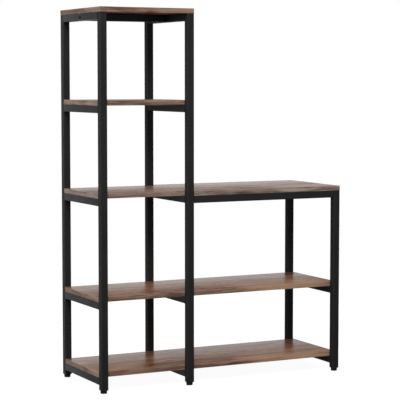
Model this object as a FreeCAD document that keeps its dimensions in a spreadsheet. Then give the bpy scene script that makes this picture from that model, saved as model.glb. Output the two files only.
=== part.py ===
import FreeCAD, Part
import math
import os
import re
import Sketcher
from FreeCAD import Placement, Rotation, Vector

# L-shaped bookcase: a tall tower of shelves on the left and a low wing on the right.
# Three welded ladder frames of square steel tube carry faced boards, screwed on from below,
# and each post stands on a levelling foot that screws into its lower end.
# X runs towards the low wing, Y towards the back, Z up from the middle of the floor area.

SIZES = {
    # Square steel tube of the frames
    "tube_width": 25.0,
    "tube_wall": 1.2,
    "tube_corner": 2.5,
    # Outsides of the frames
    "overall_width": 938.0,
    "overall_depth": 352.0,
    "tower_width": 349.0,
    # Undersides of the boards, above the floor
    "bottom_shelf_height": 52.0,
    "lower_shelf_height": 309.0,
    "middle_shelf_height": 659.0,
    "upper_shelf_height": 971.0,
    "tower_top_height": 1283.0,
    # Boards
    "board_thickness": 17.0,
    "board_gap": 1.0,
    "board_edge_round": 1.0,
    # Screws from inside the rails up into the boards
    "screw_diameter": 5.0,
    "screw_head_diameter": 9.5,
    "screw_head_height": 3.0,
    "screw_head_rim": 1.4,
    "screw_point": 3.0,
    "screw_tip_diameter": 3.0,
    "screw_bite": 11.0,
    "screw_inset": 60.0,
    "screw_clearance": 0.25,
    "driver_clearance": 1.25,
    "pilot_clearance": 0.1,
    "pilot_spare": 1.0,
    # Bolts that hold the cross rails to the frames, and the nuts in the rail ends
    "bolt_diameter": 6.0,
    "bolt_head_diameter": 10.5,
    "bolt_head_height": 3.3,
    "bolt_head_rim": 1.0,
    "bolt_point": 1.0,
    "bolt_tip_diameter": 5.0,
    "bolt_bite": 12.0,
    "bolt_clearance": 0.2,
    "nut_length": 14.0,
    "nut_clearance": 0.1,
    "thread_clearance": 0.05,
    # Plugs in the lower ends of the posts
    "flange_thickness": 2.0,
    "plug_length": 22.0,
    "plug_clearance": 0.1,
    "fin_depth": 1.5,
    "fin_thickness": 1.5,
    "fin_pitch": 5.0,
    "fin_count": 4,
    # Levelling feet
    "stud_diameter": 8.0,
    "stud_length": 36.0,
    "stud_chamfer": 1.0,
    "pad_base_diameter": 22.0,
    "pad_top_diameter": 23.0,
    "pad_height": 10.5,
    "pad_edge_round": 0.8,
    "pad_gap": 0.5,
    "socket_depth": 7.0,
}

doc = FreeCAD.newDocument("l_shaped_bookcase")
sheet = doc.addObject("Spreadsheet::Sheet", "Sizes")
for row, (name, size) in enumerate(SIZES.items(), start=1):
    sheet.set(f"A{row}", name)
    sheet.set(f"B{row}", str(size))
    sheet.setAlias(f"B{row}", name)
doc.recompute()

pieces = []


# Sums of sizes, bound to the sheet

def formula(text):
    """The same sum, with each size's name pointing at its cell."""
    return re.sub("[a-z_]+", lambda word: "Sizes." + word[0] if word[0] in SIZES else word[0], text)


def value(text):
    return float(sheet.evalExpression(formula(text)))


def bind(thing, **sums):
    for name, text in sums.items():
        thing.setExpression(name, formula(text))


def place(piece, x, y, z, turn=Rotation()):
    piece.Placement = Placement(Vector(), turn)
    for axis, text in zip("xyz", (x, y, z)):
        piece.setExpression("Placement.Base." + axis, formula(text))


# Where the frames and levels are

FRAME_X = {
    "left": "-overall_width / 2 + tube_width / 2",
    "middle": "-overall_width / 2 + tower_width - tube_width / 2",
    "right": "overall_width / 2 - tube_width / 2",
}
ROW_Y = {
    "front": "-overall_depth / 2 + tube_width / 2",
    "rear": "overall_depth / 2 - tube_width / 2",
}
LEVEL_Z = {
    "bottom": "bottom_shelf_height",
    "lower": "lower_shelf_height",
    "middle": "middle_shelf_height",
    "upper": "upper_shelf_height",
    "top": "tower_top_height",
}
FRAME_LEVELS = {
    "left": ("bottom", "lower", "middle", "upper", "top"),
    "middle": ("bottom", "lower", "middle", "upper", "top"),
    "right": ("bottom", "lower", "middle"),
}
BORE_WIDTH = "(tube_width - 2 * tube_wall)"
LEAST_BORE_CORNER = "tube_wall / 4"
BORE_CORNER = f"max(tube_corner - tube_wall; {LEAST_BORE_CORNER})"
POST_BASE = "(pad_height + pad_gap + flange_thickness)"

# Rails run front to back in the side frames, and from frame to frame across the front, back and top.
SIDE_START = "-overall_depth / 2 + tube_width"
SIDE_LENGTH = "(overall_depth - 2 * tube_width)"
SIDE_SCREWS = ["screw_inset", SIDE_LENGTH + " - screw_inset"]
WING_START = "-overall_width / 2 + tower_width"
WING_LENGTH = "(overall_width - tower_width - tube_width)"
WING_SCREWS = ["screw_inset", WING_LENGTH + " / 2", WING_LENGTH + " - screw_inset"]
BAR_START = "-overall_width / 2 + tube_width"
BAR_LENGTH = "(tower_width - 2 * tube_width)"
BAR_SCREWS = [BAR_LENGTH + " / 2"]
# Both turns bring the rail's own Y to the underside.
ALONG_Y = Rotation(Vector(1, 0, 0), -90)
ALONG_X = Rotation(Vector(-1, 1, -1), 120)


# Outlines

def new_body(label):
    body = doc.addObject("PartDesign::Body", label)
    body.Label = label
    return body


def sketch_on(body, role, height=None):
    sketch = body.newObject("Sketcher::SketchObject", body.Label + "_outline")
    plane = next(feature for feature in body.Origin.OriginFeatures if feature.Role == role)
    sketch.AttachmentSupport = [(plane, "")]
    sketch.MapMode = "FlatFace"
    if height:
        sketch.setExpression("AttachmentOffset.Base.z", formula(height))
    return sketch


def tie(sketch, kind, *where):
    sketch.addConstraint(Sketcher.Constraint(kind, *where))


def limit(sketch, kind, *where, to):
    index = sketch.addConstraint(Sketcher.Constraint(kind, *where, value(to)))
    sketch.setExpression(f"Constraints[{index}]", formula(to))


def rounded_square(sketch, side, corner):
    """A square about the origin: four lines, each followed by its corner arc."""
    half = value(side) / 2
    radius = value(corner)
    run = half - radius
    bottom = sketch.GeometryCount
    right, top, left = bottom + 2, bottom + 4, bottom + 6
    for quarter in range(4):
        turn = Rotation(Vector(0, 0, 1), 90 * quarter)
        ends = [turn.multVec(Vector(x, -half, 0)) for x in (-run, run)]
        sketch.addGeometry(Part.LineSegment(*ends))
        circle = Part.Circle(turn.multVec(Vector(run, -run, 0)), Vector(0, 0, 1), radius)
        last = math.pi / 2 * quarter
        sketch.addGeometry(Part.ArcOfCircle(circle, last - math.pi / 2, last))
    first_arc = bottom + 1
    for quarter in range(4):
        line = bottom + 2 * quarter
        arc = line + 1
        following = bottom + (2 * quarter + 2) % 8
        tie(sketch, "Tangent", line, 2, arc, 1)
        tie(sketch, "Tangent", arc, 2, following, 1)
        tie(sketch, "Vertical" if quarter % 2 else "Horizontal", line)
        if quarter:
            tie(sketch, "Equal", first_arc, arc)
    tie(sketch, "Symmetric", first_arc, 3, top + 1, 3, -1, 1)
    limit(sketch, "Radius", first_arc, to=corner)
    limit(sketch, "DistanceX", left, 1, right, 1, to=side)
    limit(sketch, "DistanceY", bottom, 1, top, 1, to=side)


def corner_rectangle(sketch, width, depth):
    """A rectangle whose first corner is the origin."""
    far = Vector(value(width), value(depth), 0)
    corners = [Vector(), Vector(far.x, 0, 0), far, Vector(0, far.y, 0)]
    for start in range(4):
        sketch.addGeometry(Part.LineSegment(corners[start], corners[(start + 1) % 4]))
    for line in range(4):
        tie(sketch, "Coincident", line, 2, (line + 1) % 4, 1)
        tie(sketch, "Vertical" if line % 2 else "Horizontal", line)
    tie(sketch, "Coincident", 0, 1, -1, 1)
    limit(sketch, "DistanceX", 0, 1, 0, 2, to=width)
    limit(sketch, "DistanceY", 1, 1, 1, 2, to=depth)


def circle_at(sketch, x, y, diameter):
    centre = Vector(value(x), value(y), 0)
    circle = sketch.addGeometry(Part.Circle(centre, Vector(0, 0, 1), value(diameter) / 2))
    limit(sketch, "Diameter", circle, to=diameter)
    for kind, text in (("DistanceX", x), ("DistanceY", y)):
        if text != "0":
            limit(sketch, kind, -1, 1, circle, 3, to=text)
    if x == "0" and y == "0":
        tie(sketch, "Coincident", circle, 3, -1, 1)
    elif x == "0":
        tie(sketch, "PointOnObject", circle, 3, -2)


def pad_up(body, sketch, length):
    pad = body.newObject("PartDesign::Pad", body.Label + "_pad")
    pad.Profile = sketch
    bind(pad, Length=length)
    return pad


def cut_through(body, sketch, sides="Symmetric"):
    pocket = body.newObject("PartDesign::Pocket", body.Label + "_cut")
    pocket.Profile = sketch
    pocket.Type = "ThroughAll"
    pocket.SideType = sides


def cut_blind(body, sketch, depth, upwards):
    pocket = body.newObject("PartDesign::Pocket", body.Label + "_cut")
    pocket.Profile = sketch
    pocket.Reversed = upwards
    bind(pocket, Length=depth)


def round_off(body, feature, radius, kind="PartDesign::Fillet", wanted=lambda edge: True):
    doc.recompute()
    edges = [f"Edge{i}" for i, edge in enumerate(feature.Shape.Edges, start=1) if wanted(edge)]
    rounding = body.newObject(kind, body.Label + "_edges")
    rounding.Base = (feature, edges)
    bind(rounding, **{"Size" if kind.endswith("Chamfer") else "Radius": radius})


def is_rim(edge):
    return isinstance(edge.Curve, Part.Circle)


# Square tubes: the posts, the side rails welded between them, and the cross rails

def drill(body, role, runs, diameter, sides="Symmetric"):
    """Holes at distances along a tube, through both of its walls or through one."""
    if runs:
        sketch = sketch_on(body, role)
        for run in runs:
            circle_at(sketch, "0", run, diameter)
        cut_through(body, sketch, sides)


def tube(label, length, screw_holes=(), bolt_holes=()):
    body = new_body(label)
    section = sketch_on(body, "XY_Plane")
    rounded_square(section, "tube_width", "tube_corner")
    rounded_square(section, BORE_WIDTH, BORE_CORNER)
    pad_up(body, section, length)
    drill(body, "XZ_Plane", screw_holes, "screw_diameter + 2 * screw_clearance")
    drill(body, "XZ_Plane", screw_holes, "screw_head_diameter + 2 * driver_clearance", sides="One side")
    drill(body, "YZ_Plane", bolt_holes, "bolt_diameter + 2 * bolt_clearance")
    pieces.append(body)
    return body


RAIL_CENTRE = " - tube_width / 2"
for side, levels in FRAME_LEVELS.items():
    post_top = LEVEL_Z[levels[-1]]
    wing_bolt = f"{LEVEL_Z['middle']} - tube_width / 2 - {POST_BASE}"
    for row, y in ROW_Y.items():
        post = tube(
            f"post_{side}_{row}",
            f"{post_top} - {POST_BASE}",
            bolt_holes=() if side == "left" else [wing_bolt],
        )
        place(post, FRAME_X[side], y, POST_BASE)
    for level in levels:
        rail = tube(
            f"rail_{side}_{level}",
            SIDE_LENGTH,
            screw_holes=SIDE_SCREWS,
            bolt_holes=[SIDE_LENGTH + " / 2"] if level == "top" else (),
        )
        place(rail, FRAME_X[side], SIDE_START, LEVEL_Z[level] + RAIL_CENTRE, ALONG_Y)

for row, y in ROW_Y.items():
    wing_rail = tube(f"low_top_{row}_rail", WING_LENGTH, screw_holes=WING_SCREWS)
    place(wing_rail, WING_START, y, LEVEL_Z["middle"] + RAIL_CENTRE, ALONG_X)
centre_bar = tube("tower_top_centre_bar", BAR_LENGTH, screw_holes=BAR_SCREWS)
place(centre_bar, BAR_START, "0", LEVEL_Z["top"] + RAIL_CENTRE, ALONG_X)


# Screws and bolts: one turned model of each, repeated where it is used

def turned_fastener(label, kind, length):
    """A domed head from 0 up to its seat, then the shank and its tapered end."""
    body = new_body(label)
    sketch = sketch_on(body, "XZ_Plane")
    shank = f"{kind}_diameter / 2"
    head = f"{kind}_head_diameter / 2"
    seat = f"{kind}_head_height"
    tip = f"{seat} + {length}"
    corners = [
        ("0", tip),
        (f"{kind}_tip_diameter / 2", tip),
        (shank, f"{tip} - {kind}_point"),
        (shank, seat),
        (head, seat),
        (head, f"{seat} - {kind}_head_rim"),
    ]
    points = [Vector(value(x), value(y), 0) for x, y in corners]
    crown = Vector()
    for start, end in zip(points, points[1:]):
        sketch.addGeometry(Part.LineSegment(start, end))
    rim = points[-1]
    dome_radius = (rim.x ** 2 + rim.y ** 2) / (2 * rim.y)
    circle = Part.Circle(Vector(0, dome_radius, 0), Vector(0, 0, 1), dome_radius)
    last = math.atan2(rim.y - dome_radius, rim.x)
    dome = sketch.addGeometry(Part.ArcOfCircle(circle, -math.pi / 2, last))
    spine = sketch.addGeometry(Part.LineSegment(crown, points[0]))
    for line in range(1, dome):
        tie(sketch, "Coincident", line - 1, 2, line, 1)
    tie(sketch, "Coincident", dome - 1, 2, dome, 2)
    tie(sketch, "Coincident", dome, 1, spine, 1)
    tie(sketch, "Coincident", spine, 2, 0, 1)
    tie(sketch, "Coincident", spine, 1, -1, 1)
    tie(sketch, "PointOnObject", dome, 3, -2)
    tie(sketch, "PointOnObject", spine, 2, -2)
    limit(sketch, "DistanceY", -1, 1, spine, 2, to=tip)
    for line, (x, y) in enumerate(corners[1:]):
        limit(sketch, "DistanceX", -1, 1, line, 2, to=x)
        limit(sketch, "DistanceY", -1, 1, line, 2, to=y)
    turning = body.newObject("PartDesign::Revolution", label + "_turning")
    turning.Profile = sketch
    turning.ReferenceAxis = (sketch, ["V_Axis"])
    turning.Angle = 360
    return body


def group(label, model, spots):
    """Copies of one model, each at its own spot, kept together as one named piece."""
    copies = []
    for x, y, z, turn in spots:
        copy = doc.addObject("App::Link", label + "_copy")
        copy.LinkedObject = model
        place(copy, x, y, z, turn)
        copies.append(copy)
    compound = doc.addObject("Part::Compound", label)
    compound.Label = label
    compound.Links = copies
    pieces.append(compound)


shelf_screw = turned_fastener("shelf_screw_model", "screw", "tube_wall + screw_bite")
rail_bolt = turned_fastener("rail_bolt_model", "bolt", "tube_width + bolt_bite")

rail_nut = new_body("rail_end_nut_model")
nut_section = sketch_on(rail_nut, "XY_Plane")
rounded_square(nut_section, BORE_WIDTH + " - 2 * nut_clearance", BORE_CORNER)
circle_at(nut_section, "0", "0", "bolt_diameter + 2 * thread_clearance")
pad_up(rail_nut, nut_section, "nut_length")

TO_RIGHT = Rotation(Vector(0, 1, 0), 90)
TO_LEFT = Rotation(Vector(0, 1, 0), -90)
wing_z = LEVEL_Z["middle"] + RAIL_CENTRE
bar_z = LEVEL_Z["top"] + RAIL_CENTRE
bolt_spots = []
nut_spots = []
for start, length, y, z in (
    (WING_START, WING_LENGTH, ROW_Y["front"], wing_z),
    (WING_START, WING_LENGTH, ROW_Y["rear"], wing_z),
    (BAR_START, BAR_LENGTH, "0", bar_z),
):
    end = f"{start} + {length}"
    nut_spots += [(start, y, z, TO_RIGHT), (end, y, z, TO_LEFT)]
    bolt_spots.append((f"{start} - tube_width - bolt_head_height", y, z, TO_RIGHT))
    bolt_spots.append((f"{end} + tube_width + bolt_head_height", y, z, TO_LEFT))
group("rail_bolts", rail_bolt, bolt_spots)
group("rail_end_nuts", rail_nut, nut_spots)


# Boards: eased on every edge, with blind pilot holes below, and the screws in those holes

def side_spots(*sides):
    return [(FRAME_X[side], f"{SIDE_START} + {run}") for side in sides for run in SIDE_SCREWS]


def board(label, level, corner, length, depth, spots):
    body = new_body(label)
    outline = sketch_on(body, "XY_Plane")
    corner_rectangle(outline, length, depth)
    round_off(body, pad_up(body, outline, "board_thickness"), "board_edge_round")
    holes = sketch_on(body, "XY_Plane")
    for x, y in spots:
        pilot = "screw_diameter + 2 * pilot_clearance"
        circle_at(holes, f"{x} - ({corner[0]})", f"{y} - ({corner[1]})", pilot)
    cut_blind(body, holes, "screw_bite + pilot_spare", upwards=True)
    place(body, *corner, LEVEL_Z[level])
    pieces.append(body)
    head = f"{LEVEL_Z[level]} - tube_wall - screw_head_height"
    group(label + "_screws", shelf_screw, [(x, y, head, Rotation()) for x, y in spots])


LEFT_END = "-overall_width / 2"
FRONT = "-overall_depth / 2"
WING_END = "-overall_width / 2 + tower_width + board_gap"
BETWEEN_POSTS = "-overall_depth / 2 + tube_width + board_gap"
SHELF_DEPTH = "overall_depth - 2 * tube_width - 2 * board_gap"
WING_BOARD = "overall_width - tower_width - board_gap"
wing_spots = [(f"{WING_START} + {run}", y) for y in ROW_Y.values() for run in WING_SCREWS]
bar_spots = [(f"{BAR_START} + {run}", "0") for run in BAR_SCREWS]
tower = side_spots("left", "middle")
full_width = side_spots("left", "middle", "right")

board("tower_top_board", "top", (LEFT_END, FRONT), "tower_width", "overall_depth", tower + bar_spots)
board("upper_shelf", "upper", (LEFT_END, BETWEEN_POSTS), "tower_width", SHELF_DEPTH, tower)
board("middle_shelf", "middle", (LEFT_END, BETWEEN_POSTS), "tower_width", SHELF_DEPTH, tower)
board("low_top_board", "middle", (WING_END, FRONT), WING_BOARD, "overall_depth",
      side_spots("right") + wing_spots)
board("lower_shelf", "lower", (LEFT_END, BETWEEN_POSTS), "overall_width", SHELF_DEPTH, full_width)
board("bottom_shelf", "bottom", (LEFT_END, BETWEEN_POSTS), "overall_width", SHELF_DEPTH, full_width)


# Levelling feet: a finned plug in the post's end, a stud that screws into it, and the pad on the floor

def foot_plug(label):
    body = new_body(label)
    flange = sketch_on(body, "XY_Plane")
    rounded_square(flange, "tube_width", "tube_corner")
    pad_up(body, flange, "flange_thickness")
    core = sketch_on(body, "XY_Plane")
    rounded_square(core, BORE_WIDTH + " - 2 * plug_clearance - 2 * fin_depth", BORE_CORNER)
    pad_up(body, core, "flange_thickness + plug_length")
    fin = sketch_on(body, "XY_Plane", height="flange_thickness + fin_pitch - fin_thickness")
    rounded_square(fin, BORE_WIDTH + " - 2 * plug_clearance", BORE_CORNER)
    first_fin = pad_up(body, fin, "fin_thickness")
    fins = body.newObject("PartDesign::LinearPattern", label + "_fins")
    fins.Originals = [first_fin]
    fins.Direction = (next(f for f in body.Origin.OriginFeatures if f.Role == "Z_Axis"), [""])
    bind(fins, Length="fin_pitch * (fin_count - 1)", Occurrences="fin_count")
    body.Tip = fins
    thread = sketch_on(body, "XY_Plane")
    circle_at(thread, "0", "0", "stud_diameter + 2 * thread_clearance")
    cut_through(body, thread)
    return body


def foot_stud(label):
    body = new_body(label)
    rod = body.newObject("PartDesign::AdditiveCylinder", label + "_rod")
    bind(rod, Radius="stud_diameter / 2", Height="stud_length")
    round_off(body, rod, "stud_chamfer", kind="PartDesign::Chamfer", wanted=is_rim)
    return body


def foot_pad(label):
    body = new_body(label)
    taper = body.newObject("PartDesign::AdditiveCone", label + "_taper")
    bind(taper, Radius1="pad_base_diameter / 2", Radius2="pad_top_diameter / 2", Height="pad_height")
    round_off(body, taper, "pad_edge_round", wanted=is_rim)
    socket = sketch_on(body, "XY_Plane", height="pad_height")
    circle_at(socket, "0", "0", "stud_diameter + 2 * thread_clearance")
    cut_blind(body, socket, "socket_depth", upwards=False)
    return body


FOOT_PARTS = (
    (foot_plug, f"{POST_BASE} - flange_thickness"),
    (foot_stud, "pad_height - socket_depth"),
    (foot_pad, "0"),
)
for side, x in FRAME_X.items():
    for row, y in ROW_Y.items():
        for make, z in FOOT_PARTS:
            piece = make(f"{make.__name__}_{side}_{row}")
            place(piece, x, y, z)
            pieces.append(piece)


# Every feature has to be sound, and every cut has to remove something, before the pieces are written

doc.recompute()
for item in doc.Objects:
    if {"Invalid", "Error"} & set(item.State):
        raise RuntimeError(f"{item.Label} failed: {item.State}")
    if item.TypeId == "PartDesign::Pocket" and item.Shape.Volume >= item.BaseFeature.Shape.Volume:
        raise RuntimeError(f"{item.Label} cuts nothing")
for piece in pieces:
    if piece.Shape.isNull() or not piece.Shape.isValid():
        raise RuntimeError(f"{piece.Label} has no sound shape")

os.makedirs("parts", exist_ok=True)
for piece in pieces:
    piece.Shape.exportStep(f"parts/{piece.Label}.step")
print(len(pieces), "pieces,", sum(len(piece.Shape.Solids) for piece in pieces), "solids")
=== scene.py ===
import math
import bmesh
import bpy
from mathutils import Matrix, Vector


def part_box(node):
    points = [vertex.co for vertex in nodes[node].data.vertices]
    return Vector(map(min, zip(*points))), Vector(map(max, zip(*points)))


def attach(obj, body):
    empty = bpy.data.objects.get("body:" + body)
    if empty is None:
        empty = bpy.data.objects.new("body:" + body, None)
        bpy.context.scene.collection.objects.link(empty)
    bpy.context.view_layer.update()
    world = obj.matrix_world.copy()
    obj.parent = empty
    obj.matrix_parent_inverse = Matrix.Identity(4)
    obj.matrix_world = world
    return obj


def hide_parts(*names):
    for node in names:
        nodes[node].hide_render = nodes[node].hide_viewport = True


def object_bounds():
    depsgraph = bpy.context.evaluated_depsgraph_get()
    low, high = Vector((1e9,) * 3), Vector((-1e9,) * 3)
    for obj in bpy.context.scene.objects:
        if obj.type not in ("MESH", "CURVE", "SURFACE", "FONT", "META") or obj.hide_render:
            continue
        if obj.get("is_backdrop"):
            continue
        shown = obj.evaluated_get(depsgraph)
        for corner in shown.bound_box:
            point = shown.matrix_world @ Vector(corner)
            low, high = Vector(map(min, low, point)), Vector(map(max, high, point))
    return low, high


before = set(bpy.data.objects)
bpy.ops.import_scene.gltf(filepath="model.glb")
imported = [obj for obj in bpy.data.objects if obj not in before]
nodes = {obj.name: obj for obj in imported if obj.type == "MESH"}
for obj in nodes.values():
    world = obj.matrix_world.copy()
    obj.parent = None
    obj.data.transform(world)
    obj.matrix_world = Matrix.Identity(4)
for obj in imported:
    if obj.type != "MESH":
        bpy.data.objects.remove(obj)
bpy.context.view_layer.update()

# Ladder frames and cross rails: square steel tube with rounded corners, cut to length, welded into
# three ladders and powder coated black. The coat has a fine orange peel, dulls in patches, and is
# duller on the posts than on the rails. Posts and rails get two copies of it: the lighter one on the
# rails is a painted highlight, and the darker one on the posts is painted shade.


class Wire:
    """One output of a node tree. Sums of wires add Math nodes, and node() adds any other node."""

    def __init__(self, tree, socket=None):
        self.tree = tree
        self.socket = socket

    def feed(self, target, sockets):
        for name, given in sockets.items():
            if isinstance(given, Wire):
                self.tree.links.new(given.socket, target.inputs[name])
            else:
                target.inputs[name].default_value = given

    def node(self, kind, settings, sockets, output=0):
        made = self.tree.nodes.new(kind)
        for name, setting in settings.items():
            if name == "stops":
                ramp = made.color_ramp.elements
                while len(ramp) < len(setting):
                    ramp.new(1.0)
                for stop, (position, colour) in zip(ramp, setting):
                    stop.position = position
                    stop.color = colour
            else:
                setattr(made, name, setting)
        self.feed(made, sockets)
        return Wire(self.tree, made.outputs[output])

    def beside(self, output):
        """Another output of the same node."""
        return Wire(self.tree, self.socket.node.outputs[output])

    def math(self, operation, *terms):
        return self.node("ShaderNodeMath", {"operation": operation}, dict(enumerate(terms)))

    def __add__(self, other):
        return self.math("ADD", self, other)

    def __sub__(self, other):
        return self.math("SUBTRACT", self, other)

    def __rsub__(self, other):
        return self.math("SUBTRACT", other, self)

    def __mul__(self, other):
        return self.math("MULTIPLY", self, other)

    def __abs__(self):
        return self.math("ABSOLUTE", self)

    __radd__ = __add__
    __rmul__ = __mul__


def screen_colour(red, green, blue):
    """A colour given as it shows on a screen, from 0 to 255, in the linear form that shaders take."""
    shares = (red / 255, green / 255, blue / 255)
    linear = [s / 12.92 if s <= 0.04045 else ((s + 0.055) / 1.055) ** 2.4 for s in shares]
    return (*linear, 1.0)


def new_finish(name):
    """A material, its shader, and a wire to start its sums from."""
    material = bpy.data.materials.new(name)
    material.use_nodes = True
    return material, material.node_tree.nodes["Principled BSDF"], Wire(material.node_tree)


def noise(place, scale, detail=2.0, roughness=0.5):
    settings = {"noise_dimensions": "3D"}
    sockets = {"Vector": place, "Scale": scale, "Detail": detail, "Roughness": roughness}
    return place.node("ShaderNodeTexNoise", settings, sockets)


def between(wire, low, high):
    """0 below low, 1 above high, and a smooth rise between them."""
    settings = {"interpolation_type": "SMOOTHSTEP"}
    return wire.node("ShaderNodeMapRange", settings, {"Value": wire, "From Min": low, "From Max": high})


def mixed(share, first, second):
    """Two colours, blended by a share from 0 to 1."""
    settings = {"data_type": "RGBA"}
    factor, from_colour, to_colour, result = 0, 6, 7, 2
    sockets = {factor: share, from_colour: first, to_colour: second}
    return share.node("ShaderNodeMix", settings, sockets, result)


def raised(height, distance):
    """A normal that follows a height from 0 to 1, given its depth in metres."""
    return height.node("ShaderNodeBump", {}, {"Height": height, "Distance": distance}, "Normal")


def powder_coat(name, colour, worn_colour, peel_per_metre, peel_depth, smoothest, dullest):
    """A coat that is worn paler and duller in patches, between two roughnesses."""
    material, shader, start = new_finish(name)
    place = start.node("ShaderNodeTexCoord", {}, {}, "Object")
    patches_per_metre = 9.0
    most_worn = 0.6
    patch = noise(place, patches_per_metre, detail=3.0)
    peel = noise(place, peel_per_metre, detail=1.0)
    start.feed(shader, {
        "Base Color": mixed(between(patch, 0.35, 0.75) * most_worn, colour, worn_colour),
        "Roughness": smoothest + between(patch, 0.3, 0.7) * (dullest - smoothest),
        "Normal": raised(peel, peel_depth),
    })
    return material


def refinish(names, material):
    """Gives shapes that stay as they were cut a finish in place of their plain one."""
    for name in names:
        nodes[name].data.materials.clear()
        nodes[name].data.materials.append(material)


TUBE_PEEL_PER_METRE = 700.0
TUBE_PEEL_DEPTH = 0.00003
# Painted highlight: the rails get a lighter copy of the posts' coat, for light that falls on them.
lit_rail_coat = powder_coat(
    "lit_satin_black_powder_coat",
    colour=screen_colour(31, 31, 32),
    worn_colour=screen_colour(38, 38, 38),
    peel_per_metre=TUBE_PEEL_PER_METRE,
    peel_depth=TUBE_PEEL_DEPTH,
    smoothest=0.36,
    dullest=0.46,
)
# Painted shade: the posts get a darker copy of the rails' coat, for shade that falls on them.
shaded_post_coat = powder_coat(
    "shaded_dull_black_powder_coat",
    colour=screen_colour(28, 28, 29),
    worn_colour=screen_colour(34, 34, 34),
    peel_per_metre=TUBE_PEEL_PER_METRE,
    peel_depth=TUBE_PEEL_DEPTH,
    smoothest=0.54,
    dullest=0.62,
)
posts = [name for name in nodes if name.startswith("post_")]
side_rails = [name for name in nodes if name.startswith(("rail_left", "rail_middle", "rail_right"))]
cross_rails = ["low_top_front_rail", "low_top_rear_rail", "tower_top_centre_bar"]
refinish(posts, shaded_post_coat)
refinish(side_rails + cross_rails, lit_rail_coat)

# Welds: each side rail is welded to its two posts, with a bead of overlapping ripples left as laid
# in the corner under the rail. They lie under the same coat as the tubes.


def new_tree(name, inputs, result):
    """A tree for things that repeat: its input wire, by its sockets' names, and its result's node."""
    tree = bpy.data.node_groups.new(name, "GeometryNodeTree")
    for label, kind in inputs.items():
        tree.interface.new_socket(label, in_out="INPUT", socket_type=kind)
    tree.interface.new_socket(result, in_out="OUTPUT", socket_type="NodeSocketGeometry")
    start = Wire(tree)
    return tree, start.node("NodeGroupInput", {}, {}), tree.nodes.new("NodeGroupOutput")


def grown(name, mesh, tree, values):
    """The tree's result on a mesh, as a plain mesh piece of its own."""
    piece = bpy.data.objects.new(name, mesh)
    bpy.context.scene.collection.objects.link(piece)
    modifier = piece.modifiers.new(name, "NODES")
    modifier.node_group = tree
    for socket in tree.interface.items_tree:
        if socket.in_out == "INPUT" and socket.name in values:
            modifier[socket.identifier] = values[socket.name]
    piece.update_tag()
    bpy.context.view_layer.update()
    depsgraph = bpy.context.evaluated_depsgraph_get()
    result = bpy.data.meshes.new_from_object(piece.evaluated_get(depsgraph), depsgraph=depsgraph)
    piece.modifiers.remove(modifier)
    piece.data = result
    result.name = name
    return piece


FLOAT, WHOLE = "NodeSocketFloat", "NodeSocketInt"
GEOMETRY, MATERIAL, VECTOR = "NodeSocketGeometry", "NodeSocketMaterial", "NodeSocketVector"


def random_value(start, least, most, seed):
    """A number of its own for each copy, between two limits."""
    settings = {"data_type": "FLOAT"}
    least_number, most_number, number = 2, 3, 1
    sockets = {least_number: least, most_number: most, "Seed": seed}
    return start.node("FunctionNodeRandomValue", settings, sockets, number)


def weld_tree():
    """A row of overlapping ripples along every seam."""
    inputs = {
        "Seams": GEOMETRY, "Ripple size": VECTOR, "Ripple spacing": FLOAT, "Unevenness": FLOAT,
        "Seed": WHOLE, "Finish": MATERIAL,
    }
    tree, given, result = new_tree("weld_beads", inputs, "Beads")
    seam = given.node("GeometryNodeMeshToCurve", {}, {"Mesh": given.beside("Seams")})
    spots = given.node("GeometryNodeCurveToPoints", {"mode": "LENGTH"},
                       {"Curve": seam, "Length": given.beside("Ripple spacing")})
    ripple = given.node("GeometryNodeMeshIcoSphere", {}, {"Radius": 1.0, "Subdivisions": 2})
    ripple = given.node("GeometryNodeSetShadeSmooth", {}, {"Geometry": ripple, "Shade Smooth": True})
    uneven = given.beside("Unevenness")
    size = random_value(given, 1 - uneven, 1 + uneven, given.beside("Seed"))
    scale = given.node("ShaderNodeVectorMath", {"operation": "SCALE"},
                       {0: given.beside("Ripple size"), "Scale": size})
    beads = given.node("GeometryNodeInstanceOnPoints", {}, {
        "Points": spots, "Instance": ripple, "Rotation": spots.beside("Rotation"), "Scale": scale,
    })
    beads = given.node("GeometryNodeRealizeInstances", {}, {"Geometry": beads})
    beads = given.node("GeometryNodeSetMaterial", {},
                       {"Geometry": beads, "Material": given.beside("Finish")})
    given.feed(result, {"Beads": beads})
    return tree


BEAD_INSET = 0.0022
seam_points = []
for name in side_rails:
    low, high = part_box(name)
    for y in (low.y, high.y):
        seam_points += [(low.x + BEAD_INSET, y, low.z), (high.x - BEAD_INSET, y, low.z)]
seams = bpy.data.meshes.new("weld_seams")
seams.from_pydata(seam_points, [(i, i + 1) for i in range(0, len(seam_points), 2)], [])
welds = grown("rail_welds", seams, weld_tree(), {
    "Ripple size": (0.0021, 0.0021, 0.0015), "Ripple spacing": 0.0017, "Unevenness": 0.14,
    "Seed": 4, "Finish": lit_rail_coat,
})
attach(welds, "frame")

# Rail bolts and shelf screws: button-head bolts with a hexagon socket hold the cross rails, and
# pan-head screws with a cross recess come up through the rails into the boards. Black oxide steel.


SAME_POINT = 1e-6


def solids_of(name):
    """The boxes of the separate solids in a node, as pairs of corners."""
    copy = bmesh.new()
    copy.from_mesh(nodes[name].data)
    bmesh.ops.remove_doubles(copy, verts=copy.verts, dist=SAME_POINT)
    left = set(copy.verts)
    boxes = []
    while left:
        found = [left.pop()]
        for vertex in found:
            near = {edge.other_vert(vertex) for edge in vertex.link_edges} & left
            left -= near
            found.extend(near)
        corners = list(zip(*[v.co for v in found]))
        boxes.append((Vector(map(min, corners)), Vector(map(max, corners))))
    copy.free()
    return sorted(boxes, key=lambda pair: tuple(pair[0]))


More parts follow.
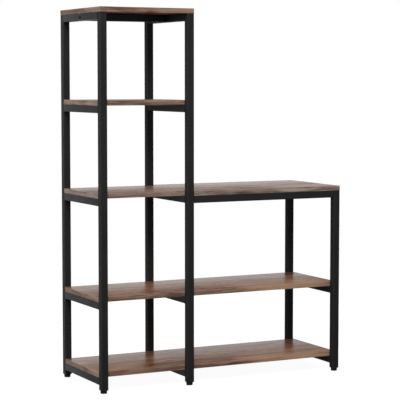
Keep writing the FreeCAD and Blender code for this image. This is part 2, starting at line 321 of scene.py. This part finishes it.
def fastener_tree():
    """A turned head with a star-shaped recess, and a shank with a rolled thread, on every spot."""
    inputs = {
        "Spots": GEOMETRY, "Head radius": FLOAT, "Head height": FLOAT, "Dome radius": FLOAT,
        "Recess points": WHOLE, "Recess outer": FLOAT, "Recess inner": FLOAT, "Recess depth": FLOAT,
        "Shank radius": FLOAT, "Shank length": FLOAT, "Thread depth": FLOAT, "Thread turns": FLOAT,
        "Seed": WHOLE, "Finish": MATERIAL,
    }
    tree, given, result = new_tree("turned_fastener", inputs, "Fasteners")
    size = given.beside
    head_sides, shank_sides, thread_steps, thread_corners = 40, 24, 20, 3
    dome_segments, dome_rings = 64, 96
    core_radius = size("Shank radius") - size("Thread depth")

    def upwards(shift):
        return given.node("ShaderNodeCombineXYZ", {}, {"Z": shift})

    def moved(shape, shift):
        return given.node("GeometryNodeTransform", {},
                          {"Geometry": shape, "Translation": upwards(shift)})

    blank = given.node("GeometryNodeMeshCylinder", {}, {
        "Vertices": head_sides, "Radius": size("Head radius"), "Depth": size("Head height"),
    })
    blank = moved(blank, size("Head height") * 0.5)
    dome = given.node("GeometryNodeMeshUVSphere", {}, {
        "Segments": dome_segments, "Rings": dome_rings, "Radius": size("Dome radius"),
    })
    dome = moved(dome, size("Dome radius"))
    head = given.node("GeometryNodeMeshBoolean", {"operation": "INTERSECT", "solver": "EXACT"}, {})
    for shape in (blank, dome):
        tree.links.new(shape.socket, head.socket.node.inputs["Mesh 2"])
    star = given.node("GeometryNodeCurveStar", {}, {
        "Points": size("Recess points"), "Outer Radius": size("Recess outer"),
        "Inner Radius": size("Recess inner"),
    })
    line = given.node("GeometryNodeCurvePrimitiveLine", {}, {
        "Start": upwards(size("Recess depth") * -1.0), "End": upwards(size("Recess depth")),
    })
    recess = given.node("GeometryNodeCurveToMesh", {},
                        {"Curve": line, "Profile Curve": star, "Fill Caps": True})
    cut = {"operation": "DIFFERENCE", "solver": "EXACT"}
    head = given.node("GeometryNodeMeshBoolean", cut, {"Mesh 1": head, "Mesh 2": recess})
    core = given.node("GeometryNodeMeshCylinder", {}, {
        "Vertices": shank_sides, "Radius": core_radius, "Depth": size("Shank length"),
    })
    core = moved(core, size("Head height") + size("Shank length") * 0.5)
    helix = given.node("GeometryNodeCurveSpiral", {}, {
        "Resolution": thread_steps, "Rotations": size("Thread turns"),
        "Start Radius": core_radius, "End Radius": core_radius, "Height": size("Shank length"),
    })
    helix = given.node("GeometryNodeSetCurveNormal", {"mode": "Z_UP"}, {"Curve": helix})
    ridge = given.node("GeometryNodeCurvePrimitiveCircle", {},
                       {"Resolution": thread_corners, "Radius": size("Thread depth")})
    thread = given.node("GeometryNodeCurveToMesh", {},
                        {"Curve": helix, "Profile Curve": ridge, "Fill Caps": True})
    thread = moved(thread, size("Head height"))
    whole = given.node("GeometryNodeJoinGeometry", {}, {})
    for shape in (head, core, thread):
        tree.links.new(shape.socket, whole.socket.node.inputs["Geometry"])
    turn = given.node("GeometryNodeInputNamedAttribute", {"data_type": "FLOAT_VECTOR"}, {"Name": "turn"})
    copies = given.node("GeometryNodeInstanceOnPoints", {}, {
        "Points": size("Spots"), "Instance": whole, "Rotation": turn,
    })
    spin = random_value(given, 0.0, 2 * math.pi, size("Seed"))
    copies = given.node("GeometryNodeRotateInstances", {}, {
        "Instances": copies, "Rotation": upwards(spin), "Local Space": True,
    })
    copies = given.node("GeometryNodeRealizeInstances", {}, {"Geometry": copies})
    copies = given.node("GeometryNodeSetMaterial", {}, {"Geometry": copies, "Material": size("Finish")})
    given.feed(result, {"Fasteners": copies})
    return tree


def fasteners(name, spots, values):
    """Like fasteners as one piece. A spot is the crown of the head and how the fastener is turned."""
    mesh = bpy.data.meshes.new(name + "_spots")
    mesh.from_pydata([crown for crown, turn in spots], [], [])
    turns = mesh.attributes.new("turn", "FLOAT_VECTOR", "POINT")
    turns.data.foreach_set("vector", [angle for crown, turn in spots for angle in turn])
    piece = grown(name, mesh, turned_fastener, values)
    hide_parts(name)
    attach(piece, "frame")


def dome_radius(head_radius, rise):
    """The radius of a dome that rises this far over a round head."""
    return (head_radius ** 2 + rise ** 2) / (2 * rise)


oxide = powder_coat(
    "black_oxide_steel",
    colour=screen_colour(22, 22, 24),
    worn_colour=screen_colour(38, 37, 36),
    peel_per_metre=1500.0,
    peel_depth=0.00001,
    smoothest=0.26,
    dullest=0.4,
)
turned_fastener = fastener_tree()

BOLT_HEAD_HEIGHT = 0.0033
BOLT_HEAD_RIM = 0.001
BOLT_HEAD_RADIUS = 0.00525
bolt_sizes = {
    "Head radius": BOLT_HEAD_RADIUS, "Head height": BOLT_HEAD_HEIGHT,
    "Dome radius": dome_radius(BOLT_HEAD_RADIUS, BOLT_HEAD_HEIGHT - BOLT_HEAD_RIM),
    "Recess points": 3, "Recess outer": 0.00231, "Recess inner": 0.00231, "Recess depth": 0.0021,
    "Shank radius": 0.003, "Shank length": 0.037, "Thread depth": 0.0005, "Thread turns": 37.0,
    "Seed": 2, "Finish": oxide,
}
TO_RIGHT = (0, math.pi / 2, 0)
TO_LEFT = (0, -math.pi / 2, 0)
cross_rail_middles = [sum(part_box(name), Vector()) / 2 for name in cross_rails]
bolt_spots = []
for low, high in solids_of("rail_bolts"):
    middle = (low + high) / 2
    rail_middle = min(cross_rail_middles, key=lambda place: (place - middle).yz.length)
    if middle.x < rail_middle.x:
        bolt_spots.append(((low.x, middle.y, middle.z), TO_RIGHT))
    else:
        bolt_spots.append(((high.x, middle.y, middle.z), TO_LEFT))
fasteners("rail_bolts", bolt_spots, bolt_sizes)

SCREW_HEAD_HEIGHT = 0.003
SCREW_HEAD_RIM = 0.0014
SCREW_HEAD_RADIUS = 0.00475
screw_sizes = {
    "Head radius": SCREW_HEAD_RADIUS, "Head height": SCREW_HEAD_HEIGHT,
    "Dome radius": dome_radius(SCREW_HEAD_RADIUS, SCREW_HEAD_HEIGHT - SCREW_HEAD_RIM),
    "Recess points": 4, "Recess outer": 0.0026, "Recess inner": 0.0008, "Recess depth": 0.002,
    "Shank radius": 0.0025, "Shank length": 0.0122, "Thread depth": 0.0005, "Thread turns": 6.8,
    "Seed": 7, "Finish": oxide,
}
UPRIGHT = (0, 0, 0)
for name in [name for name in nodes if name.endswith("_screws")]:
    screw_spots = []
    for low, high in solids_of(name):
        screw_spots.append((((low.x + high.x) / 2, (low.y + high.y) / 2, low.z), UPRIGHT))
    fasteners(name, screw_spots, screw_sizes)

# Rail end nuts: zinc-plated blocks pressed into the ends of the cross rails. Only the threads of the
# bolts reach them, so they keep the shape that they were cut to.


def zinc_plate(name, colour, dull_colour, lines_per_metre):
    """Bright metal with faint lines, clouded in patches."""
    material, shader, start = new_finish(name)
    place = start.node("ShaderNodeTexCoord", {}, {}, "Object")
    lines_in_cloud = 12
    line_depth = 0.00001
    smoothest, dullest = 0.24, 0.44
    cloud = noise(place, lines_per_metre / lines_in_cloud, detail=3.0)
    scratch = noise(place, lines_per_metre, detail=2.0)
    start.feed(shader, {
        "Base Color": mixed(between(cloud, 0.35, 0.7), colour, dull_colour),
        "Metallic": 1.0,
        "Roughness": smoothest + between(cloud, 0.3, 0.75) * (dullest - smoothest),
        "Normal": raised(scratch, line_depth),
    })
    return material


zinc = zinc_plate("bright_zinc_plate", screen_colour(196, 199, 202), screen_colour(164, 168, 166), 1800.0)
refinish(["rail_end_nuts"], zinc)

# Boards: particle board faced with a printed rustic wood grain, and edged with a thin band of a greyer
# print. The grain runs along each board and on over its front and back, and the ends show another
# stretch of it under a painted highlight. The eased edges are lightened a little in patches, partly
# rubbing wear from handling and partly a painted highlight along the arris. Screws from below hold them.
BAND_THICKNESS = 0.001
SEAM_WIDTH = 0.00016
SEAM_DEPTH = 0.00012
EDGE_ROUND = 0.0009
RUBBED_AND_LIT_WIDTH = 0.0026
LEAST_CORNER = 0.0002
CORNER_STEPS = 4
UNDERSIDE_SHIFT = 1.0
END_SHIFT = 2.0
FLAT_FACE_NORMAL = 0.7
SHARP_CORNER = math.radians(40)


def outline(low, high, inset):
    """A rounded rectangle, drawn in from the board's own outline."""
    radius = max(EDGE_ROUND - inset, LEAST_CORNER)
    reach = inset + radius
    corners = ((high.x - reach, high.y - reach), (low.x + reach, high.y - reach),
               (low.x + reach, low.y + reach), (high.x - reach, low.y + reach))
    points = []
    for quarter, (x, y) in enumerate(corners):
        for step in range(CORNER_STEPS + 1):
            angle = (quarter + step / CORNER_STEPS) * math.pi / 2
            points.append((x + radius * math.cos(angle), y + radius * math.sin(angle)))
    return points


def board_profile(half):
    """Inset, height and share of rubbing wear and painted highlight of the loops, from the face, over the
    seam, to where the edge is flat.
    """
    face = [
        (RUBBED_AND_LIT_WIDTH, half, 0.0),
        (BAND_THICKNESS + SEAM_WIDTH, half, 0.5),
        (BAND_THICKNESS + SEAM_WIDTH / 2, half - SEAM_DEPTH, 0.0),
        (BAND_THICKNESS, half, 0.9),
    ]
    for step in range(CORNER_STEPS + 1):
        angle = step / CORNER_STEPS * math.pi / 2
        drop = EDGE_ROUND * (1 - math.cos(angle))
        face.append((EDGE_ROUND * (1 - math.sin(angle)), half - drop, 1.0))
    face.append((0.0, half - RUBBED_AND_LIT_WIDTH, 0.0))
    return face


def board_mesh(name, low, high):
    """A board with eased edges and a seam, its grain laid out in metres, and its band and its share of
    rubbing wear and painted highlight marked.
    """
    middle = (low.z + high.z) / 2
    upper = board_profile((high.z - low.z) / 2)
    loops = [(inset, middle + height, rubbed_and_lit_share) for inset, height, rubbed_and_lit_share in upper]
    loops += [(inset, middle - height, rubbed_and_lit_share) for inset, height, rubbed_and_lit_share in reversed(upper)]
    shape = bmesh.new()
    # How much each loop is lightened: partly rubbing wear, partly a painted highlight along the arris.
    rubbed = shape.verts.layers.float.new("rubbed")
    rings = []
    for inset, z, rubbed_and_lit_share in loops:
        ring = [shape.verts.new((x, y, z)) for x, y in outline(low, high, inset)]
        for vertex in ring:
            vertex[rubbed] = rubbed_and_lit_share
        rings.append(ring)
    shape.faces.new(rings[0])
    shape.faces.new(reversed(rings[-1]))
    count = len(rings[0])
    for above, below in zip(rings, rings[1:]):
        for i in range(count):
            after = (i + 1) % count
            shape.faces.new((above[i], below[i], below[after], above[after]))
    shape.normal_update()
    grain = shape.loops.layers.uv.new("grain")
    band = shape.faces.layers.float.new("band")
    for face in shape.faces:
        flat = abs(face.normal.z) > FLAT_FACE_NORMAL
        along_ends = abs(face.normal.x) > abs(face.normal.y)
        face[band] = 0.0 if flat else 1.0
        face.smooth = len(face.verts) == 4
        for corner in face.loops:
            x, y, z = corner.vert.co
            if flat:
                corner[grain].uv = (x, y if face.normal.z > 0 else y + UNDERSIDE_SHIFT)
            elif along_ends:
                corner[grain].uv = (END_SHIFT - y, high.z - z)
            else:
                corner[grain].uv = (x, y + math.copysign(high.z - z, face.normal.y))
    mesh = bpy.data.meshes.new(name)
    shape.to_mesh(mesh)
    shape.free()
    mesh.set_sharp_from_angle(angle=SHARP_CORNER)
    return mesh


def rustic_print(name, shift, tans, tan_share, greyness, depth):
    """The printed grain: bands, streaks, flames, flecks, growth rings, cracks, pores and a few knots
    that push the grain aside. shift is where on the print the board was cut. tans are stretches along
    the front with a warmer tint, each with its middle and reach in metres and its strength. depth
    darkens the faces. The print is glossier towards the back of each board."""
    material, shader, start = new_finish(name)
    grain = start.node("ShaderNodeUVMap", {"uv_map": "grain"}, {})
    band = start.node("ShaderNodeAttribute", {"attribute_name": "band"}, {}, "Fac")
    rubbed = start.node("ShaderNodeAttribute", {"attribute_name": "rubbed"}, {}, "Fac")
    along = start.node("ShaderNodeSeparateXYZ", {}, {"Vector": grain}, "X")
    across = along.beside("Y")

    def spread(per_metre_along, per_metre_across, bend=0.0):
        return start.node("ShaderNodeCombineXYZ", {}, {
            "X": along * per_metre_along + shift, "Y": (across + bend) * per_metre_across, "Z": shift,
        })

    def mark(per_metre_along, per_metre_across, bend=0.0, detail=2.0, roughness=0.5):
        """A mark that comes this often along the grain and across it."""
        return noise(spread(per_metre_along, per_metre_across, bend), 1.0, detail, roughness)

    cells_along, cells_across = 2.8, 8.0
    knot_length, knot_width = 0.03, 0.009
    cells_without_knot = 0.7
    swirl_in_knots = 4.0
    cell = spread(cells_along, cells_across)
    centre = start.node("ShaderNodeTexVoronoi", {"voronoi_dimensions": "2D"},
                        {"Vector": cell, "Scale": 1.0}, "Position")
    away = start.node("ShaderNodeVectorMath", {"operation": "SUBTRACT"}, {0: cell, 1: centre})
    oval = (1 / (cells_along * knot_length), 1 / (cells_across * knot_width), 0.0)
    away_in_knots = start.node("ShaderNodeVectorMath", {"operation": "MULTIPLY"}, {0: away, 1: oval})
    from_knot = start.node("ShaderNodeVectorMath", {"operation": "LENGTH"}, {0: away_in_knots}, "Value")
    chance = start.node("ShaderNodeSeparateColor", {}, {"Color": centre.beside("Color")})
    here = between(chance, cells_without_knot, cells_without_knot + 0.01)
    knot = (1 - between(from_knot, 0.2, 1.1)) * here
    swirl = (1 - between(from_knot, 0.0, swirl_in_knots)) * here
    away_across = start.node("ShaderNodeSeparateXYZ", {}, {"Vector": away}, "Y") * (1 / cells_across)

    sway_reach, waver_reach, knot_push = 0.03, 0.004, 0.7
    sway = mark(2.6, 7.0) - 0.5
    waver = mark(11.0, 45.0, detail=1.0) - 0.5
    bend = sway * sway_reach + waver * waver_reach - away_across * swirl * knot_push
    bands = mark(1.5, 28.0, bend, detail=3.0)
    streak = mark(3.0, 120.0, bend, detail=4.0, roughness=0.6)
    flame = mark(13.0, 45.0, bend)
    fleck = mark(11.0, 170.0, bend, detail=1.0)
    fibre = mark(9.0, 700.0, bend)
    pore = mark(38.0, 1500.0, bend, detail=1.0)
    rings_in_figure = 34.0
    figure = mark(1.3, 11.0, bend, detail=1.0) + (streak - 0.5) * 0.02
    ring = start.math("FRACT", figure * rings_in_figure)
    late_wood = between(ring, 0.25, 0.9) * (1 - between(ring, 0.92, 1.0)) * (1 - band * 0.7)
    line = mark(1.4, 38.0, bend, detail=1.0)
    crack = 1 - between(abs(line - 0.5), 0.004, 0.02)
    crack = crack * between(mark(7.0, 24.0), 0.48, 0.62)
    ragged = (bands - 0.5) * 0.1 + (flame - 0.5) * 0.06
    tan = 0.0
    for middle, reach, strength in tans:
        tan = tan + (1 - between(abs(along - middle + ragged), 0.5 * reach, reach)) * strength
    tan = tan * (1 - between(across + ragged, -0.1, 0.0)) * between(streak, 0.3, 0.6)

    tone = 0.14
    for paler_mark, low, high, share in (
        (bands, 0.38, 0.62, 0.25),
        (streak, 0.38, 0.62, 0.2),
        (flame, 0.38, 0.62, 0.17),
        (fibre, 0.35, 0.65, 0.14),
        (fleck, 0.4, 0.6, 0.17),
    ):
        tone = tone + between(paler_mark, low, high) * share
    tone = tone - late_wood * 0.26
    band_contrast = (tone - 0.6) * 0.9 - 0.05
    tone = tone + band * band_contrast + tan * 0.2
    tone = tone - (crack * 0.4 + knot * 0.35) * (1 - band * 0.5)

    dark = screen_colour(66, 40, 32)
    umber = screen_colour(112, 68, 52)
    brown = screen_colour(158, 104, 80)
    fawn = screen_colour(196, 146, 114)
    ochre = screen_colour(148, 114, 78)
    dust = screen_colour(152, 130, 122)
    end_highlight_colour = screen_colour(200, 174, 160)
    # The next colour lightens the eased edges: partly rubbing wear, partly a painted highlight along the
    # arris.
    worn = screen_colour(190, 164, 142)
    tan_colour = screen_colour(222 - 40 * greyness, 178 + 40 * greyness, 144 + 110 * greyness)
    stops = [(0.1, dark), (0.36, umber), (0.58, brown), (0.9, fawn)]
    colour = start.node("ShaderNodeValToRGB", {"stops": stops}, {"Fac": tone})
    yellowed = between(mark(4.5, 18.0), 0.46, 0.62)
    colour = mixed(yellowed * 0.4, colour, ochre)
    colour = mixed((1 - band) * depth, colour, dark)
    colour = mixed(band * 0.2, colour, dust)
    # Painted highlight: the end faces are mixed towards a paler colour, more so towards their front, and
    # the darkening of the band below leaves them out.
    on_end = between(along, 0.5 * END_SHIFT, 0.6 * END_SHIFT)
    painted_end_highlight = on_end * (0.2 + 0.25 * between(along, END_SHIFT + 0.03, END_SHIFT + 0.08))
    colour = mixed(painted_end_highlight, colour, end_highlight_colour)
    colour = start.node("ShaderNodeHueSaturation", {}, {
        "Saturation": 1 - band * 0.16 - greyness,
        "Value": 1 - band * (1 - on_end) * (greyness * 0.6),
        "Color": colour,
    })
    colour = mixed(tan * tan_share, colour, tan_colour)
    # Partly rubbing wear, partly a painted highlight: the eased edges are mixed paler in patches.
    colour = mixed(rubbed * between(flame, 0.3, 0.6) * 0.5, colour, worn)
    colour = mixed(between(pore, 0.64, 0.72) * 0.5, colour, dark)

    upper_face = 1 - between(across, 0.3, 0.4)
    polish = between(across, -0.14, 0.15) * upper_face * (1 - band)
    print_depth = 0.00005
    least_coat = 0.06
    relief = fibre * 0.5 - late_wood * 0.3 - crack * 0.6 - between(pore, 0.62, 0.74) * 0.4
    start.feed(shader, {
        "Base Color": colour,
        "Roughness": 0.3 + between(fibre, 0.3, 0.7) * 0.1 + crack * 0.15,
        "Specular IOR Level": 0.007,
        "Coat Weight": least_coat + polish * (1 - least_coat),
        "Coat Roughness": 0.26,
        "Normal": raised(relief, print_depth),
    })
    return material


boards = {
    "tower_top_board": {
        "shift": 12.73, "tan_share": 0.2, "greyness": 0.0, "depth": 0.1,
        "tans": [(-0.18, 0.12, 1.0)],
    },
    "upper_shelf": {
        "shift": 7.77, "tan_share": 0.2, "greyness": 0.05, "depth": 0.1,
        "tans": [(-0.19, 0.12, 1.0)],
    },
    "middle_shelf": {
        "shift": 19.77, "tan_share": 0.25, "greyness": 0.2, "depth": 0.0,
        "tans": [(-0.19, 0.12, 0.6), (-0.36, 0.14, 0.4)],
    },
    "low_top_board": {
        "shift": 20.49, "tan_share": 0.6, "greyness": 0.3, "depth": 0.0,
        "tans": [(0.4, 0.24, 1.0)],
    },
    "lower_shelf": {
        "shift": 23.7, "tan_share": 0.65, "greyness": 0.0, "depth": 0.22,
        "tans": [(0.26, 0.22, 1.0), (-0.4, 0.16, 0.5)],
    },
    "bottom_shelf": {
        "shift": 37.23, "tan_share": 0.65, "greyness": 0.0, "depth": 0.22,
        "tans": [(0.28, 0.24, 1.0), (-0.4, 0.16, 0.6)],
    },
}
for name, choices in boards.items():
    piece = bpy.data.objects.new("faced_" + name, board_mesh("faced_" + name, *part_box(name)))
    piece.data.materials.append(rustic_print("rustic_print_" + name, **choices))
    bpy.context.scene.collection.objects.link(piece)
    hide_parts(name)
    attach(piece, "frame")

# Levelling feet: a finned nylon plug in the post's end, a zinc-plated stud that screws into it, and a
# moulded nylon pad on the stud. A foot turns to come out, and its thread shows in the gap.


def moulded_nylon(name, colour, scuffed_colour):
    """A moulding with the fine grain of its tool, scuffed paler and duller in places."""
    material, shader, start = new_finish(name)
    place = start.node("ShaderNodeTexCoord", {}, {}, "Object")
    sparks_per_metre, scuffs_per_metre = 2600.0, 120.0
    spark_depth = 0.00003
    most_scuffed = 0.7
    smoothest, dullest = 0.5, 0.66
    spark = noise(place, sparks_per_metre, detail=1.0)
    scuff = noise(place, scuffs_per_metre, detail=3.0)
    start.feed(shader, {
        "Base Color": mixed(between(scuff, 0.5, 0.75) * most_scuffed, colour, scuffed_colour),
        "Roughness": smoothest + between(scuff, 0.35, 0.7) * (dullest - smoothest),
        "Normal": raised(spark, spark_depth),
    })
    return material


THREAD_PITCH = 0.00125
THREAD_DEPTH = 0.0007
THREAD_SIDES = 32
STEPS_PER_TURN = 8
STUD_CHAMFER = 0.001


def stud_mesh(name, low, high):
    """A rod with a V thread: rings up the rod, each point as deep as the thread is there."""
    middle = (low + high) / 2
    radius = (high.x - low.x) / 2
    rows = round((high.z - low.z) / THREAD_PITCH * STEPS_PER_TURN)
    shape = bmesh.new()
    rings = []
    for row in range(rows + 1):
        z = low.z + (high.z - low.z) * row / rows
        from_end = min(z - low.z, high.z - z)
        most = radius - max(STUD_CHAMFER - from_end, 0)
        ring = []
        for side in range(THREAD_SIDES):
            share = side / THREAD_SIDES
            phase = (row / STEPS_PER_TURN - share) % 1
            reach = min(radius - THREAD_DEPTH * abs(2 * phase - 1), most)
            angle = 2 * math.pi * share
            ring.append(shape.verts.new((
                middle.x + reach * math.cos(angle), middle.y + reach * math.sin(angle), z,
            )))
        rings.append(ring)
    shape.faces.new(reversed(rings[0]))
    shape.faces.new(rings[-1])
    for below, above in zip(rings, rings[1:]):
        for i in range(THREAD_SIDES):
            after = (i + 1) % THREAD_SIDES
            shape.faces.new((below[i], below[after], above[after], above[i]))
    mesh = bpy.data.meshes.new(name)
    shape.to_mesh(mesh)
    shape.free()
    return mesh


nylon = moulded_nylon("moulded_black_nylon", screen_colour(24, 24, 25), screen_colour(40, 40, 40))
refinish([name for name in nodes if name.startswith(("foot_plug", "foot_pad"))], nylon)
for name in [name for name in nodes if name.startswith("foot_stud")]:
    piece = bpy.data.objects.new("threaded_" + name, stud_mesh("threaded_" + name, *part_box(name)))
    piece.data.materials.append(zinc)
    bpy.context.scene.collection.objects.link(piece)
    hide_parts(name)
    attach(piece, name)

# Studio: a white sheet on the floor, and soft light that is strongest from the front left and above.
# Weaker lights fill in from behind and from the left. The camera stands a little over the low top,
# turned towards the tower's left side.
FLOOR_REACH = 2.4
FLOOR_SIDES = 96
FLOOR_GREY = 0.12
FLOOR_GLOW = 0.95
ROOM_LIGHT = 0.07
WHITE = (1.0, 1.0, 1.0, 1.0)
floor_mesh = bpy.data.meshes.new("floor_sheet")
floor_shape = bmesh.new()
bmesh.ops.create_circle(floor_shape, cap_ends=True, segments=FLOOR_SIDES, radius=FLOOR_REACH)
floor_shape.to_mesh(floor_mesh)
floor_shape.free()
floor = bpy.data.objects.new("floor_sheet", floor_mesh)
bpy.context.scene.collection.objects.link(floor)
floor_finish, floor_shader, floor_start = new_finish("white_sheet")
floor_start.feed(floor_shader, {
    "Base Color": (FLOOR_GREY, FLOOR_GREY, FLOOR_GREY, 1.0),
    "Roughness": 0.9,
    "Emission Color": WHITE,
    "Emission Strength": FLOOR_GLOW,
})
floor_mesh.materials.append(floor_finish)
floor.visible_diffuse = False
floor.visible_glossy = False
floor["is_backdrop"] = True

world = bpy.data.worlds.new("studio")
bpy.context.scene.world = world
world.use_nodes = True
sky = Wire(world.node_tree)
seen = sky.node("ShaderNodeLightPath", {}, {}, "Is Camera Ray")
background = world.node_tree.nodes["Background"]
sky.feed(background, {
    "Color": WHITE,
    "Strength": ROOM_LIGHT + seen * (1 - ROOM_LIGHT),
})


def softbox(name, place, aim, width, height, power):
    """A lamp with a wide face, sized in metres and powered in watts, that the camera doesn't see."""
    light = bpy.data.lights.new(name, "AREA")
    light.shape = "RECTANGLE"
    light.size = width
    light.size_y = height
    light.energy = power
    lamp = bpy.data.objects.new(name, light)
    lamp.location = place
    lamp.rotation_mode = "QUATERNION"
    lamp.rotation_quaternion = (Vector(aim) - Vector(place)).to_track_quat("-Z", "Y")
    lamp.visible_camera = False
    bpy.context.scene.collection.objects.link(lamp)


softbox("key_softbox", (-2.3, -4.9, 5.0), (0.0, 0.0, 0.6), 3.0, 3.0, 290.0)
softbox("top_softbox", (0.3, 2.0, 3.2), (0.0, 0.0, 0.6), 3.0, 2.0, 45.0)
softbox("left_softbox", (-3.6, -0.5, 1.3), (-0.47, 0.0, 0.65), 2.0, 2.0, 36.0)
softbox("front_card", (0.5, -1.2, 0.65), (0.0, -0.1, 0.65), 1.2, 1.3, 1.0)
softbox("left_card", (-0.62, 0.58, 0.7), (-0.47, 0.12, 0.7), 0.16, 1.8, 0.72)
softbox("back_softbox", (1.5, 2.6, 0.85), (0.0, 0.0, 0.5), 3.2, 1.7, 11.2)

CAMERA_PLACE = (-2.4879, -4.8809, 1.0595)
CAMERA_TURN = math.radians(26.93)
CAMERA_DROP = math.radians(4.50)
CAMERA_LENS = 138.19
CAMERA_SENSOR = 36.0
camera = bpy.data.objects.new("camera", bpy.data.cameras.new("camera"))
camera.data.lens = CAMERA_LENS
camera.data.sensor_width = CAMERA_SENSOR
camera.location = CAMERA_PLACE
camera.rotation_euler = (math.pi / 2 - CAMERA_DROP, 0, -CAMERA_TURN)
bpy.context.scene.collection.objects.link(camera)
bpy.context.scene.camera = camera
bpy.context.scene.view_settings.view_transform = "Standard"

low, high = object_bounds()
